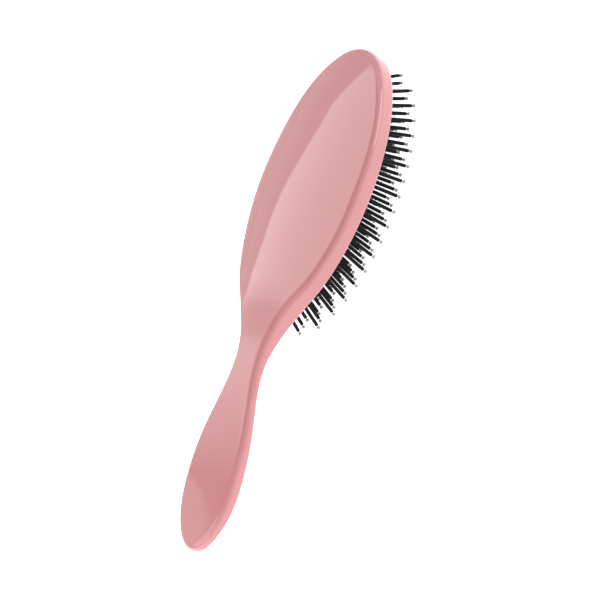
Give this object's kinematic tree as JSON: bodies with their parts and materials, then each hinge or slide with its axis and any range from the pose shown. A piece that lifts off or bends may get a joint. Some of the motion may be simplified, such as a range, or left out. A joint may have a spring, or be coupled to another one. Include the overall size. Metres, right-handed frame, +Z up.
{
  "type": "detangling brush",
  "caption": "Oval cushioned detangling hair brush with a moulded handle and flexible ball-tipped pins set in a domed rubber cushion.",
  "frame": {"origin": "on the surface the brush rests on, under the middle of its overall box", "axes": "+X across the brush, +Y from the tail of the handle to the tip of the head, +Z up through the back"},
  "size_m": [0.069, 0.2274, 0.036],
  "materials": {
    "gloss_shell": "polished moulded plastic, dusty pink",
    "cushion_rubber": "soft matt rubber, black",
    "pin_nylon": "smooth flexible nylon, black",
    "ball_tip": "smooth rounded bead, pale grey and slightly clear"
  },
  "bodies": {
    "handle": {"handle_body": "gloss_shell"},
    "cushion_bed": {"cushion": "cushion_rubber"},
    "pin_field": {"pin_row_01": "pin_nylon", "pin_row_02": "pin_nylon", "pin_row_03": "pin_nylon", "pin_row_04": "pin_nylon", "pin_row_05": "pin_nylon", "pin_row_06": "pin_nylon", "pin_row_07": "pin_nylon", "pin_row_08": "pin_nylon", "pin_row_09": "pin_nylon", "pin_row_10": "pin_nylon", "pin_row_11": "pin_nylon", "pin_row_12": "pin_nylon", "pin_row_13": "pin_nylon", "pin_row_14": "pin_nylon", "pin_row_15": "pin_nylon", "pin_row_16": "pin_nylon", "pin_row_17": "pin_nylon", "pin_row_18": "pin_nylon", "ball_tips_row_01": "ball_tip", "ball_tips_row_02": "ball_tip", "ball_tips_row_03": "ball_tip", "ball_tips_row_04": "ball_tip", "ball_tips_row_05": "ball_tip", "ball_tips_row_06": "ball_tip", "ball_tips_row_07": "ball_tip", "ball_tips_row_08": "ball_tip", "ball_tips_row_09": "ball_tip", "ball_tips_row_10": "ball_tip", "ball_tips_row_11": "ball_tip", "ball_tips_row_12": "ball_tip", "ball_tips_row_13": "ball_tip", "ball_tips_row_14": "ball_tip", "ball_tips_row_15": "ball_tip", "ball_tips_row_16": "ball_tip", "ball_tips_row_17": "ball_tip", "ball_tips_row_18": "ball_tip"}
  },
  "joints": [
    {"name": "cushion_press", "type": "slide", "parent": "handle", "child": "cushion_bed", "axis": [0, 0, 1], "range_m": [0, 0.0028], "stiffness_N_per_m": 1500, "deforming": ["cushion"]},
    {"name": "cushion_rock", "type": "hinge", "parent": "cushion_bed", "child": "pin_field", "pos_m": [0, 0.0504, 0.022], "axis": [0, 1, 0], "range_deg": [-3.5, 3.5], "stiffness_Nm_per_rad": 0.8}
  ]
}
